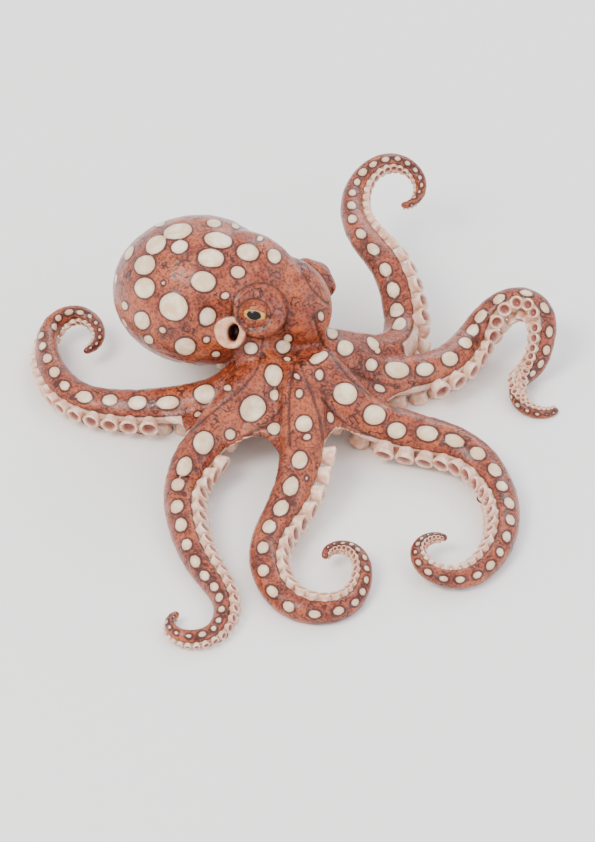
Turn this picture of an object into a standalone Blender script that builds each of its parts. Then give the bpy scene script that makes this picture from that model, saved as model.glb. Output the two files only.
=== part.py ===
"""Octopus, life size, crawling over a level floor with its arms spread and curled.

Lengths in the tables are millimetres and angles are degrees. Places are measured from the middle of
the ring of arms, on the floor; the model's origin is the middle of the whole animal's footprint.
Bearings turn anticlockwise from +X, seen from above. The head faces +X and a little towards -Y.
"""
import math

import bmesh
import bpy
import numpy as np
from mathutils import Matrix, Vector

MM = 0.001
GAP = 0.35  # between pieces that touch
CROWN = (2.0, 13.3)  # middle of the ring of arms, from the origin

# ---- arms ----------------------------------------------------------------------------------------
RING = 26.0  # the arms start this far out from the middle
ROOT_RADIUS = 24.1
TIP_RADIUS = 3.0
TAPER = 0.80  # under 1: the arm keeps its thickness and draws in faster at the tip
SQUASH = 0.10  # of the radius: how far soft suckers flatten under the arm's weight
SINK = 0.8
WHOLE_SUCKERS = 9.5  # arm radius down to which each sucker is a lobe of its own
STEP_SUCKERS, STEP_TIP = 0.62, 1.35  # between slices, in radii: with whole suckers and past them
LENGTHS = (0.0, 0.24, 0.50, 0.75, 1.0)  # where the free arm is divided, as shares of its length

# a slice of the arm in radii: x across, y from the back (-1) to the side with the suckers (+)
BACK, SHOULDER, FLANK, GROOVE = (0.0, -1.25), (0.76, -0.93), (1.02, -0.02), (0.0, 0.80)
SUCKER_ROW = 0.55
SUCKER_OUT, SUCKER_IN, SUCKER_SMALL = 1.22, 0.90, 1.08  # a sucker, between two, and past WHOLE_SUCKERS
BEND_SOFTENING = 1.3  # radii each way over which one bend runs into the next

ROLL_AT = (0, 0.25, 0.45, 0.70, 1)
# bends: (length, turn, height over the floor at the end); roll: how far the suckers lean over to the
# arm's left at the shares of its length in ROLL_AT; cut: where the free arm begins
ARMS = {
    "arm_r1": dict(bearing=-52.1, lift=40, cut=84, roll=(-45, -28, -64, -105, -90),
                   bends=[(82, 41.8, 6), (68, -5.2, 0), (67, -52.4, 0), (141, -63.1, 2), (120, -270.6, 18)]),
    "arm_r2": dict(bearing=-80.8, lift=40, cut=84, roll=(45, 47, 76, 115, 80),
                   bends=[(91, -14.4, 20), (82, -24.2, 2), (108, 67, 0), (67, 103.1, 0), (60, 59.7, 12),
                          (48, 177.8, 16)]),
    "arm_r3": dict(bearing=-140.1, lift=40, cut=96, roll=(45, 38, 94, 104, 0),
                   bends=[(117, 12.3, 6), (52, 38, 0), (130, 32.7, 0), (67, -65.9, 0), (77, -216, 6)]),
    "arm_r4": dict(bearing=-160.1, lift=32, cut=96, roll=(45, 45, 48, 15, -70),
                   bends=[(78, -15.6, 6), (105, -19.1, 0), (58, -43.4, 2), (84, -35.2, 12),
                          (55, -117.2, 24), (61, -137.9, 20)]),
    "arm_l1": dict(bearing=10.1, lift=40, cut=116, roll=(-50, -44, -66, -105, -240),
                   bends=[(81, -4.6, 6), (110, 64.5, 10), (85, -85.3, 50), (27, -66.1, 44), (61, -60.8, 6),
                          (94, 210.3, 0)]),
    "arm_l2": dict(bearing=21.5, lift=45, cut=116, roll=(-65, -92, -92, -60, -40),
                   bends=[(78, 8.8, 22), (43, 52.1, 16), (116, 46.5, 60), (102, -53.2, 77), (57, -61, 90),
                          (85, -219.4, 66)]),
    "arm_l3": dict(bearing=98, lift=34, cut=84, roll=(0, 5, 20, 50, 85),
                   bends=[(122, -3, 6), (86, 10, 0), (88, 112, 0), (98, 285, 4)]),
    "arm_l4": dict(bearing=125, lift=34, cut=80, roll=(0, 0, 0, -30, -60),
                   bends=[(83, 6, 3), (58, 14, 0), (92, -150, 0), (76, -205, 3)]),
}

ROOT_PAST = (12.0, 0.80)  # an arm's root runs this far past its cut inside the free arm, this much slimmer

# the web of skin between neighbours: how far along the arms it runs, and how far at its middle
WEB_THICKNESS = 7.0
WEB_OVER = 1.5  # its back, over the line it leaves the arms on
WEB_OUT, WEB_LOW = 0.84, 0.15  # in radii: how far out on an arm that line is, and its least height
WEB_EDGE = (0.80, 0.25)  # in radii, across and down: the edge of the side with the suckers
WEBS = {
    ("arm_r4", "arm_r3"): (132, 108), ("arm_r3", "arm_r2"): (112, 78), ("arm_r2", "arm_r1"): (90, 66),
    ("arm_r1", "arm_l1"): (112, 84), ("arm_l1", "arm_l2"): (130, 105), ("arm_l2", "arm_l3"): (122, 88),
    ("arm_l3", "arm_l4"): (96, 66), ("arm_l4", "arm_r4"): (100, 70),
}

# ---- head and mantle -----------------------------------------------------------------------------
MANTLE = dict(middle=(-99, 54, 119), radii=(96, 78, 77), bearing=153, rise=-17, neck_taper=0.22)
NECK = dict(middle=(-53, 44, 139), radii=(59.5, 44, 54), bearing=153, rise=-2)
HEAD = dict(middle=(-9, 30, 120), radii=(47, 38, 52), bearing=-34)
CROWN_DOME = dict(middle=(0, -2, 66), radii=(50, 48, 26))
CHEEK = dict(middle=(-47, -10, 90), radii=(14, 13, 27), look=(0.36, 0.41, 0.84))  # under the right eye
MANTLE_EDGE = dict(point=(-62, 30, 118), facing=(-0.97, 0.22, -0.12))  # where mantle and head meet

EYE_RADIUS = 15.6
LID_THICKNESS = 1.5
LID_GAP = (28, 13)  # width and height of the opening between the lids
# look: the way the mound points; gaze: the way the opening between the lids faces; slant: how its line dips
EYES = {
    "eye_right": dict(mound=(-37, 0, 133), mound_radii=(27, 27, 23), look=(-0.46, -0.80, 0.33), out=9,
                      gaze=(-0.16, -0.82, 0.52), slant=14),
    "eye_left": dict(mound=(15, 61, 126), mound_radii=(26, 26, 19), look=(0.60, 0.72, 0.34), out=4,
                     gaze=(0.45, 0.85, 0.20), slant=-14),
}

SIPHON = dict(base=(-62, 13, 99), point=(-0.17, -0.80, 0.57), length=46, radii=(18, 15.5), bore=11,
              depth=20, lip=2.5, clear=(16, 5))  # clear: how far before the mouth there is no flesh, and how
# much wider than the mouth that room becomes

# ---- meshing -------------------------------------------------------------------------------------
VOXEL = 3.0
SMOOTHING = 6  # passes
BODY_FACES = 1000
WEB_FACES = 960
ARM_ROOM = 60.0  # how far along a free arm the web keeps clear of it
SHARP = 50  # an edge that turns more than this stays sharp


def clear_scene():
    for thing in list(bpy.data.objects):
        bpy.data.objects.remove(thing, do_unlink=True)


def new_collection(name):
    collection = bpy.data.collections.new(name)
    bpy.context.scene.collection.children.link(collection)
    return collection


def skin_material(name, rgb, roughness=0.45):
    material = bpy.data.materials.new(name)
    material.use_nodes = True
    shader = material.node_tree.nodes["Principled BSDF"]
    shader.inputs["Base Color"].default_value = (*rgb, 1.0)
    shader.inputs["Roughness"].default_value = roughness
    shader.inputs["Metallic"].default_value = 0.0
    return material


def world(point):
    """A place measured from the ring of arms, in millimetres, as metres from the origin."""
    return Vector(((point[0] + CROWN[0]) * MM, (point[1] + CROWN[1]) * MM, point[2] * MM))


def object_from(bm, name, collection):
    mesh = bpy.data.meshes.new(name)
    bm.to_mesh(mesh)
    bm.free()
    thing = bpy.data.objects.new(name, mesh)
    collection.objects.link(thing)
    return thing


def evaluated_copy(thing, name, collection):
    """A plain mesh object with the modifiers of thing applied; thing is removed."""
    bpy.context.view_layer.update()
    graph = bpy.context.evaluated_depsgraph_get()
    mesh = bpy.data.meshes.new_from_object(thing.evaluated_get(graph))
    mesh.transform(thing.matrix_world)
    copy = bpy.data.objects.new(name, mesh)
    collection.objects.link(copy)
    bpy.data.objects.remove(thing, do_unlink=True)
    return copy


# ---- arms: centre line, frames and slices --------------------------------------------------------
def through(knots, values, where):
    """A curve through the values that is level at each high and low point between them."""
    knots, values = np.asarray(knots, float), np.asarray(values, float)
    slopes = np.diff(values) / np.diff(knots)
    tangents = np.zeros(len(values))
    for i in range(1, len(values) - 1):
        if slopes[i - 1] * slopes[i] > 0:
            tangents[i] = 2 * slopes[i - 1] * slopes[i] / (slopes[i - 1] + slopes[i])
    i = np.clip(np.searchsorted(knots, where, side="right") - 1, 0, len(knots) - 2)
    span = knots[i + 1] - knots[i]
    u = (where - knots[i]) / span
    start = (1 + 2 * u) * (1 - u) ** 2 * values[i] + u * (1 - u) ** 2 * span * tangents[i]
    end = u * u * (3 - 2 * u) * values[i + 1] + u * u * (u - 1) * span * tangents[i + 1]
    return start + end


def running_sum(values, step):
    return np.concatenate([[0], np.cumsum((values[1:] + values[:-1]) / 2 * step)])


def arm_length(arm):
    return sum(bend[0] for bend in arm["bends"])


def arm_radius(share):
    return TIP_RADIUS + (ROOT_RADIUS - TIP_RADIUS) * (1 - share) ** TAPER


def slice_points(left_row, right_row):
    right = [SHOULDER, FLANK, (SUCKER_ROW, right_row)]
    left = [(-SUCKER_ROW, left_row), (-FLANK[0], FLANK[1]), (-SHOULDER[0], SHOULDER[1])]
    return [BACK, *right, GROOVE, *left]


def arm_line(arm):
    """Centre line of an arm as columns s, x, y, z, roll. A thinner part of a bend curls tighter."""
    length = arm_length(arm)
    s = np.linspace(0, length, 401)
    step = s[1] - s[0]
    radius = arm_radius(s / length)
    ends = np.cumsum([0] + [bend[0] for bend in arm["bends"]])
    turns = np.radians(np.cumsum([0] + [bend[1] for bend in arm["bends"]]))
    ease = running_sum(1 / radius, step)
    turned = np.interp(ease, np.interp(ends, s, ease), turns)
    area = running_sum(turned, step)
    low = np.clip(s - BEND_SOFTENING * radius, 0, length)
    high = np.clip(s + BEND_SOFTENING * radius, 0, length)
    softened = (np.interp(high, s, area) - np.interp(low, s, area)) / (high - low)
    heading = math.radians(arm["bearing"]) + softened

    roll = np.radians(through(ROLL_AT, arm["roll"], s / length))
    full = slice_points(SUCKER_OUT, SUCKER_OUT)
    below = radius * np.max([y * np.cos(roll) - x * np.sin(roll) for x, y in full], axis=0)
    lift = through(ends, [arm["lift"]] + [bend[2] for bend in arm["bends"]], s)
    z = lift + below - SINK - SQUASH * radius
    flat = np.sqrt(np.clip(1 - np.gradient(z, s) ** 2, 0.05, 1))
    x = RING * math.cos(math.radians(arm["bearing"])) + running_sum(np.cos(heading) * flat, step)
    y = RING * math.sin(math.radians(arm["bearing"])) + running_sum(np.sin(heading) * flat, step)
    return np.stack([s, x, y, z, roll], axis=1)


def arm_frame(line, s):
    """Centre, direction, side and sucker direction of an arm at arc length s."""
    at = [np.interp(s, line[:, 0], line[:, k]) for k in (1, 2, 3, 4)]
    ahead = [np.interp(s + 1.0, line[:, 0], line[:, k]) for k in (1, 2, 3)]
    behind = [np.interp(s - 1.0, line[:, 0], line[:, k]) for k in (1, 2, 3)]
    along = (Vector(ahead) - Vector(behind)).normalized()
    left = Vector((0, 0, 1)).cross(along).normalized()
    up = along.cross(left)
    side = math.cos(at[3]) * left + math.sin(at[3]) * up
    suckers = math.sin(at[3]) * left - math.cos(at[3]) * up
    return Vector(at[:3]), along, side, suckers


def arm_ring(arm, line, s, points, grow=0.0, scale=1.0):
    radius = arm_radius(s / arm_length(arm))
    centre, _, side, suckers = arm_frame(line, s)
    ring = []
    for x, y in points:
        offset = (x * side + y * suckers) * radius * scale
        place = centre + offset + offset.normalized() * grow
        place.z = max(place.z, 0.0 if grow == 0 else -grow)
        ring.append(world(place))
    return ring


def loft(bm, rings):
    """Skin a row of rings with the same number of points, closed at both ends."""
    rows = [[bm.verts.new(point) for point in ring] for ring in rings]
    count = len(rows[0])
    for a, b in zip(rows, rows[1:]):
        for k in range(count):
            bm.faces.new((a[k], a[(k + 1) % count], b[(k + 1) % count], b[k]))
    bm.faces.new(rows[0])
    bm.faces.new(rows[-1][::-1])
    bmesh.ops.recalc_face_normals(bm, faces=bm.faces[:])


def stations(arm, start, end):
    """Arc lengths half a sucker apart while the suckers are lobes, and a little wider after that."""
    length = arm_length(arm)
    s, places = start, [start]
    while s < end:
        radius = arm_radius(s / length)
        s += radius * (STEP_SUCKERS if radius > WHOLE_SUCKERS else STEP_TIP)
        places.append(s)
    return start + (np.array(places) - start) * (end - start) / (places[-1] - start)


def arm_piece(arm, line, start, end, first, name, collection):
    bm = bmesh.new()
    rings = []
    for k, s in enumerate(stations(arm, start, end)):
        big = arm_radius(s / arm_length(arm)) > WHOLE_SUCKERS
        rows = (SUCKER_OUT, SUCKER_IN) if (k + first) % 2 else (SUCKER_IN, SUCKER_OUT)
        rings.append(arm_ring(arm, line, s, slice_points(*(rows if big else (SUCKER_SMALL,) * 2))))
    loft(bm, rings)
    return object_from(bm, name, collection), len(rings)


# ---- soft body: rounded forms joined by a remesh -------------------------------------------------
def add_egg(bm, middle, radii, bearing=0.0, rise=0.0, neck_taper=0.0, look=None):
    made = bmesh.ops.create_icosphere(bm, subdivisions=4, radius=1.0)["verts"]
    turn = Matrix.Rotation(math.radians(bearing), 3, "Z") @ Matrix.Rotation(math.radians(-rise), 3, "Y")
    if look is not None:
        turn = Vector(look).to_track_quat("Z", "Y").to_matrix()
    for vert in made:
        front = max(0.0, -vert.co.x)
        squeeze = 1 - neck_taper * front ** 2
        local = Vector((vert.co.x * radii[0], vert.co.y * radii[1] * squeeze, vert.co.z * radii[2] * squeeze))
        vert.co = world(Vector(middle) + turn @ local)


def soften(thing, faces):
    remesh = thing.modifiers.new("one skin", "REMESH")
    remesh.mode = "VOXEL"
    remesh.voxel_size = VOXEL * MM
    smooth = thing.modifiers.new("soften", "SMOOTH")
    smooth.factor = 0.5
    smooth.iterations = SMOOTHING
    reduce = thing.modifiers.new("fewer faces", "DECIMATE")
    reduce.ratio = 0.5
    bpy.context.view_layer.update()
    graph = bpy.context.evaluated_depsgraph_get()
    now = len(thing.evaluated_get(graph).data.polygons)
    reduce.ratio = 0.5 * faces / now


def web_start(arm, line, s, toward):
    """Where the web leaves an arm on its left (1) or right (-1): the flank, or the edge of the sucker
    side where that leans over to this side."""
    centre, along, side, suckers = arm_frame(line, s)
    left = Vector((0, 0, 1)).cross(along).normalized()
    up = along.cross(left)
    edge = toward * WEB_EDGE[0] * side + WEB_EDGE[1] * suckers
    height = max(edge.dot(up), WEB_LOW)
    out = toward * math.sqrt(WEB_OUT ** 2 - height ** 2)
    return centre + (out * left + height * up) * arm_radius(s / arm_length(arm))


def web_sheet(a, b, lines, reach, middle):
    """Skin between two arms; its free edge curves in towards the middle of the gap."""
    bm = bmesh.new()
    bmesh.ops.create_grid(bm, x_segments=12, y_segments=14, size=0.5)
    for vert in bm.verts:
        across, out = vert.co.x + 0.5, vert.co.y + 0.5
        s = out * (middle + (reach - middle) * abs(2 * across - 1) ** 2)
        start, end = web_start(ARMS[a], lines[a], s, 1), web_start(ARMS[b], lines[b], s, -1)
        vert.co = world(start.lerp(end, across) + Vector((0, 0, WEB_OVER)))
    top = bmesh.ops.extrude_face_region(bm, geom=bm.faces[:])["geom"]
    for item in top:
        if isinstance(item, bmesh.types.BMVert):
            item.co.z -= WEB_THICKNESS * MM
    bmesh.ops.recalc_face_normals(bm, faces=bm.faces[:])
    return bm


def add_mesh(bm, other):
    mesh = bpy.data.meshes.new("added")
    other.to_mesh(mesh)
    other.free()
    bm.from_mesh(mesh)
    bpy.data.meshes.remove(mesh)


def cut(thing, cutter, operation="DIFFERENCE"):
    boolean = thing.modifiers.new(cutter.name, "BOOLEAN")
    boolean.operation = operation
    boolean.object = cutter
    boolean.solver = "EXACT"


def cutter_from(bm, name, collection):
    cutter = object_from(bm, name, collection)
    cutter.hide_render = True
    cutter.display_type = "WIRE"
    return cutter


def largest_body(thing):
    """Drop the crumbs that a cut can leave behind."""
    bm = bmesh.new()
    bm.from_mesh(thing.data)
    left, bodies = set(bm.faces), []
    while left:
        stack, body = [left.pop()], []
        while stack:
            face = stack.pop()
            body.append(face)
            for edge in face.edges:
                for other in edge.link_faces:
                    if other in left:
                        left.remove(other)
                        stack.append(other)
        bodies.append(body)
    bodies.sort(key=len)
    bmesh.ops.delete(bm, geom=[face for body in bodies[:-1] for face in body], context="FACES")
    bmesh.ops.dissolve_degenerate(bm, dist=1e-6, edges=bm.edges[:])
    bmesh.ops.triangulate(bm, faces=bm.faces[:])
    bm.to_mesh(thing.data)
    bm.free()


def sphere(bm, middle, radius, segments=18, rings=10, look=(0, 0, 1)):
    made = bmesh.ops.create_uvsphere(bm, u_segments=segments, v_segments=rings, radius=radius * MM)["verts"]
    turn = Vector(look).to_track_quat("Z", "Y").to_matrix().to_4x4()
    bmesh.ops.transform(bm, matrix=Matrix.Translation(world(middle)) @ turn, verts=made)


def eye_middle(eye):
    return Vector(eye["mound"]) + Vector(eye["look"]).normalized() * eye["out"]


def lid_opening(eye):
    """A lens-shaped block along the line of sight."""
    bm = bmesh.new()
    look = Vector(eye["gaze"]).normalized()
    turn = Matrix.Rotation(math.radians(-eye["slant"]), 3, look)
    across = turn @ look.cross(Vector((0, 0, 1))).normalized()
    over = across.cross(look)
    width, height = LID_GAP
    middle = eye_middle(eye) + look * EYE_RADIUS
    rings = []
    for depth in (-EYE_RADIUS * 0.75, EYE_RADIUS):
        ring = []
        for k in range(24):
            angle = math.tau * k / 24
            reach = across * math.cos(angle) * width / 2 + over * math.sin(angle) ** 3 * height / 2
            ring.append(world(middle + look * depth + reach))
        rings.append(ring)
    loft(bm, rings)
    return bm


# ---- sub-parts -----------------------------------------------------------------------------------
def build_arms(lines, parts, material):
    for name, arm in ARMS.items():
        line, cut_at = lines[name], arm["cut"]
        free = arm_length(arm) - cut_at
        first = 0
        for number, (low, high) in enumerate(zip(LENGTHS, LENGTHS[1:]), 1):
            end = cut_at + high * free - (GAP / 2 if high < 1 else 0)
            start = cut_at + low * free + GAP / 2
            piece, used = arm_piece(arm, line, start, end, first, f"{name}_{number}", parts)
            piece.data.materials.append(material)
            first += used - 1


def build_upper_body(parts):
    """Mantle, neck, head and the mounds round the eyes as one soft form."""
    bm = bmesh.new()
    add_egg(bm, **MANTLE)
    add_egg(bm, **NECK)
    add_egg(bm, **HEAD)
    for eye in EYES.values():
        add_egg(bm, eye["mound"], eye["mound_radii"], look=eye["look"])
    body = object_from(bm, "body_form", parts)
    soften(body, BODY_FACES)
    return evaluated_copy(body, "body_form", parts)


def build_web(lines, parts):
    """The roots of the arms and the skin between them, as one soft form."""
    bm = bmesh.new()
    add_egg(bm, **CROWN_DOME)
    add_egg(bm, **CHEEK)
    for name, arm in ARMS.items():
        root = bmesh.new()
        points = slice_points(SUCKER_SMALL, SUCKER_SMALL)
        past, slim = ROOT_PAST
        places = [*np.linspace(0, arm["cut"] + 1, 12), arm["cut"] + past / 3, arm["cut"] + past]
        scales = [1.0] * 12 + [slim, slim]
        loft(root, [arm_ring(arm, lines[name], s, points, scale=k) for s, k in zip(places, scales)])
        add_mesh(bm, root)
    for (a, b), (reach, middle) in WEBS.items():
        add_mesh(bm, web_sheet(a, b, lines, reach, middle))
    web = object_from(bm, "web_form", parts)
    soften(web, WEB_FACES)
    return evaluated_copy(web, "web_form", parts)


def grown_copy(thing, name, cutters):
    grown = bpy.data.objects.new(name, thing.data.copy())
    cutters.objects.link(grown)
    grow = grown.modifiers.new("gap", "DISPLACE")
    grow.mid_level = 0.0
    grow.strength = GAP * MM
    grown.hide_render = True
    grown.display_type = "WIRE"
    return grown


def siphon_profile(extra=0.0):
    base, tip = SIPHON["radii"]
    length = SIPHON["length"]
    lip = SIPHON["lip"]
    return [(0.0, base + extra), (length * 0.45, (base + tip) / 2 + extra), (length - 3 * lip, tip + extra),
            (length - lip, tip + lip * 0.6 + extra), (length, tip - lip * 0.2 + extra)]


def turned(bm, profile, segments=20):
    """Rings along the siphon's line from (distance, radius) pairs, as one closed solid."""
    point = Vector(SIPHON["point"]).normalized()
    across = point.cross(Vector((0, 0, 1))).normalized()
    over = across.cross(point)
    rings = []
    for distance, radius in profile:
        middle = Vector(SIPHON["base"]) + point * distance
        angles = [math.tau * k / segments for k in range(segments)]
        rings.append([world(middle + (across * math.cos(a) + over * math.sin(a)) * radius) for a in angles])
    loft(bm, rings)


def build_siphon(parts, cutters):
    bm = bmesh.new()
    length, bore, depth, lip = (SIPHON[key] for key in ("length", "bore", "depth", "lip"))
    inside = [(length - depth, bore * 0.75), (length - lip * 1.6, bore), (length, bore + lip)]
    turned(bm, siphon_profile() + inside[::-1])
    siphon = object_from(bm, "siphon", parts)
    outer = bmesh.new()
    start = [(-GAP, SIPHON["radii"][0] + GAP)]
    ahead, wider = SIPHON["clear"]
    end = [(length + GAP, SIPHON["radii"][1] + lip), (length + ahead, SIPHON["radii"][1] + lip + wider)]
    turned(outer, start + siphon_profile(GAP)[:-1] + end)
    return siphon, cutter_from(outer, "siphon_room", cutters)


def half_space(point, facing, name, cutters, size=400.0):
    bm = bmesh.new()
    bmesh.ops.create_cube(bm, size=size * MM)
    turn = Vector(facing).to_track_quat("Z", "Y").to_matrix().to_4x4()
    middle = Vector(point) + Vector(facing).normalized() * size / 2
    bmesh.ops.transform(bm, matrix=Matrix.Translation(world(middle)) @ turn, verts=bm.verts[:])
    return cutter_from(bm, name, cutters)


def build_animal():
    clear_scene()
    parts = new_collection("octopus")
    cutters = new_collection("cutters")
    skin = skin_material("octopus skin", (0.42, 0.13, 0.055))
    head_skin = skin_material("octopus head skin", (0.46, 0.16, 0.07))
    arm_skin = skin_material("octopus arm skin", (0.40, 0.12, 0.05))
    siphon_skin = skin_material("pale siphon skin", (0.72, 0.48, 0.36))
    eyeball = skin_material("golden eye", (0.62, 0.42, 0.10), 0.08)
    lines = {name: arm_line(arm) for name, arm in ARMS.items()}

    build_arms(lines, parts, arm_skin)
    body = build_upper_body(parts)
    web = build_web(lines, parts)
    siphon, siphon_room = build_siphon(parts, cutters)
    siphon.data.materials.append(siphon_skin)

    # eyes, with thin lids that belong to the head
    lids, hollows, openings = bmesh.new(), bmesh.new(), bmesh.new()
    for name, eye in EYES.items():
        bm = bmesh.new()
        sphere(bm, eye_middle(eye), EYE_RADIUS, look=eye["look"])
        ball = object_from(bm, name, parts)
        ball.data.materials.append(eyeball)
        sphere(lids, eye_middle(eye), EYE_RADIUS + GAP + LID_THICKNESS, look=eye["look"])
        sphere(hollows, eye_middle(eye), EYE_RADIUS + GAP, look=eye["look"])
        add_mesh(openings, lid_opening(eye))
    body_room = grown_copy(body, "body_room", cutters)

    cut(body, cutter_from(lids, "lids", cutters), "UNION")
    cut(body, cutter_from(hollows, "eye_hollows", cutters))
    cut(body, cutter_from(openings, "lid_openings", cutters))
    cut(body, siphon_room)
    body = evaluated_copy(body, "body_form", parts)
    facing = Vector(MANTLE_EDGE["facing"]).normalized()
    behind = half_space(Vector(MANTLE_EDGE["point"]) - facing * GAP / 2, facing, "mantle_side", cutters)
    before = half_space(Vector(MANTLE_EDGE["point"]) + facing * GAP / 2, -facing, "head_side", cutters)
    for name, side, material in (("head", behind, head_skin), ("mantle", before, skin)):
        form = bpy.data.objects.new(name + "_form", body.data.copy())
        parts.objects.link(form)
        cut(form, side)
        piece = evaluated_copy(form, name, parts)
        largest_body(piece)
        piece.data.materials.clear()
        piece.data.materials.append(material)
    bpy.data.objects.remove(body, do_unlink=True)

    # the web makes room for the body, the siphon and the free arms
    cut(web, body_room)
    cut(web, siphon_room)
    for name, arm in ARMS.items():
        room = bmesh.new()
        points = slice_points(SUCKER_OUT, SUCKER_OUT)
        places = np.linspace(arm["cut"] - GAP / 2, arm["cut"] + ARM_ROOM, 9)
        loft(room, [arm_ring(arm, lines[name], s, points, grow=GAP * 1.5) for s in places])
        cut(web, cutter_from(room, name + "_room", cutters))
    web = evaluated_copy(web, "web", parts)
    largest_body(web)
    web.data.materials.clear()
    web.data.materials.append(skin)
    for piece in parts.objects:
        piece.data.shade_smooth()
        piece.data.set_sharp_from_angle(angle=math.radians(SHARP))


build_animal()
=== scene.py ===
import functools
import math

import bmesh
import bpy
import numpy as np
from mathutils import Matrix, Vector, noise


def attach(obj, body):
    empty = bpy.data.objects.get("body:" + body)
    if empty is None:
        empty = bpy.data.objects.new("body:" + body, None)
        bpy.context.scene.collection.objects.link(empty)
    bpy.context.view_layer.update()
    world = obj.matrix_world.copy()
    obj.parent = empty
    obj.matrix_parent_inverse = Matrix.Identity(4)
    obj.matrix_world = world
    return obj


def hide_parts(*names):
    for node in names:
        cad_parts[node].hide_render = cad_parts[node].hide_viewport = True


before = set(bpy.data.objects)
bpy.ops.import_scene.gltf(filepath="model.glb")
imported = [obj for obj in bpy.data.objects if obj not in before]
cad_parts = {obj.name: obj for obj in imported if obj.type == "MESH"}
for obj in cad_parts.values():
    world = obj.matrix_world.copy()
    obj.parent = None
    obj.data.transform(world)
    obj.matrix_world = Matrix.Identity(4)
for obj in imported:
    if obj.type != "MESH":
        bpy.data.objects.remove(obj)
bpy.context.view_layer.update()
mm = 0.001
crownMiddle = (2.0, 13.3)  # the middle of the ring of arms, in mm from the origin
frontWay = (0, -0.77, 0.64)  # towards the viewer, who looks from the front and above
eased = dict(interpolation_type="SMOOTHSTEP")  # a map range that starts and ends gently
mixed = dict(data_type="RGBA")  # a mix of two colours
noMark = 30.0  # so far from a spot or a line, in mm, that none shows

# Lengths in the settings are millimetres, measured from the middle of the ring of arms on the floor.
# Bearings are degrees anticlockwise from +X. Where a size is "in radii" it grows with the arm.


def toModel(points):
    return (np.asarray(points, float) + (crownMiddle[0], crownMiddle[1], 0.0)) * mm


def toMillimetres(points):
    return np.asarray(points, float) / mm - (crownMiddle[0], crownMiddle[1], 0.0)


def smoothStep(low, high, value):
    t = np.clip((value - low) / (high - low), 0.0, 1.0)
    return t * t * (3 - 2 * t)


def unit(vectors):
    vectors = np.asarray(vectors, float)
    return vectors / np.linalg.norm(vectors, axis=-1, keepdims=True)


def vertexPlaces(mesh):
    places = np.empty(len(mesh.vertices) * 3)
    mesh.vertices.foreach_get("co", places)
    return places.reshape(-1, 3)


def vertexNormals(mesh):
    normals = np.empty(len(mesh.vertices) * 3)
    mesh.vertices.foreach_get("normal", normals)
    return normals.reshape(-1, 3)


def placeVertices(mesh, places):
    mesh.vertices.foreach_set("co", np.asarray(places, float).ravel())
    mesh.update()


def writeAttribute(mesh, name, values):
    layer = mesh.attributes.get(name) or mesh.attributes.new(name, "FLOAT", "POINT")
    layer.data.foreach_set("value", np.asarray(values, np.float32))


def newPiece(name, bm, smooth=True):
    mesh = bpy.data.meshes.new(name)
    bm.to_mesh(mesh)
    bm.free()
    piece = bpy.data.objects.new(name, mesh)
    bpy.context.scene.collection.objects.link(piece)
    if smooth:
        mesh.shade_smooth()
    return piece


def mappedGrid(across, along, place):
    # a sheet of across x along faces, each corner put where place(u, v) says
    bm = bmesh.new()
    bmesh.ops.create_grid(bm, x_segments=across, y_segments=along, size=0.5)
    uv = np.array([(vert.co.x + 0.5, vert.co.y + 0.5) for vert in bm.verts])
    for vert, where in zip(bm.verts, place(uv[:, 0], uv[:, 1])):
        vert.co = where
    return bm


def evenOut(bm, verts, factor, times):
    for _ in range(times):
        bmesh.ops.smooth_vert(bm, verts=verts, factor=factor,
                              use_axis_x=True, use_axis_y=True, use_axis_z=True)


def spinRound(bm, outline, steps, finer=0):
    # a closed form turned about +Z from an outline of (radius, height)
    chain = [bm.verts.new((radius, 0, height)) for radius, height in outline]
    edges = [bm.edges.new(pair) for pair in zip(chain, chain[1:])]
    if finer:
        bmesh.ops.subdivide_edges(bm, edges=edges, cuts=finer, smooth=0.0)
    bmesh.ops.spin(bm, geom=bm.verts[:] + bm.edges[:], cent=(0, 0, 0), axis=(0, 0, 1), angle=math.tau,
                   steps=steps, use_merge=True)
    bmesh.ops.remove_doubles(bm, verts=bm.verts[:], dist=1e-5)
    bmesh.ops.holes_fill(bm, edges=[edge for edge in bm.edges if edge.is_boundary], sides=0)
    bmesh.ops.recalc_face_normals(bm, faces=bm.faces[:])


def addTo(bm, other):
    mesh = bpy.data.meshes.new("added")
    other.to_mesh(mesh)
    other.free()
    bm.from_mesh(mesh)
    bpy.data.meshes.remove(mesh)


def colour(hexText):
    # sRGB as people write it, made linear
    parts = [int(hexText[i:i + 2], 16) / 255 for i in (1, 3, 5)]
    parts = [part / 12.92 if part <= 0.04045 else ((part + 0.055) / 1.055) ** 2.4 for part in parts]
    return [*parts, 1.0]


def setInputs(node, inputs):
    # a value is a number, a hex colour or another node's output; a plain list goes into the sockets in use
    named = isinstance(inputs, dict)
    sockets = node.inputs if named else [socket for socket in node.inputs if socket.enabled]
    for key, value in inputs.items() if named else enumerate(inputs):
        if isinstance(value, bpy.types.NodeSocket):
            node.id_data.links.new(value, sockets[key])
        else:
            sockets[key].default_value = colour(value) if isinstance(value, str) else value


def addNode(tree, kind, inputs=(), output="", **settings):
    node = tree.nodes.new("ShaderNode" + kind)
    for name, value in settings.items():
        setattr(node, name, value)
    setInputs(node, inputs)
    return next(socket for socket in node.outputs if socket.enabled and output in ("", socket.name))


def newMaterial(name):
    # the material, its shader, and what adds a node to its tree
    material = bpy.data.materials.new(name)
    material.use_nodes = True
    tree = material.node_tree
    return material, tree.nodes["Principled BSDF"], functools.partial(addNode, tree)


def paintOver(add, under, over, value, low, high, start=0.0, end=1.0, **settings):
    # one colour over another, its share going gently from start to end as the value goes from low to high
    share = add("MapRange", [value, low, high, start, end], **eased)
    return add("Mix", [share, under, over], **mixed, **settings)


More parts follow.
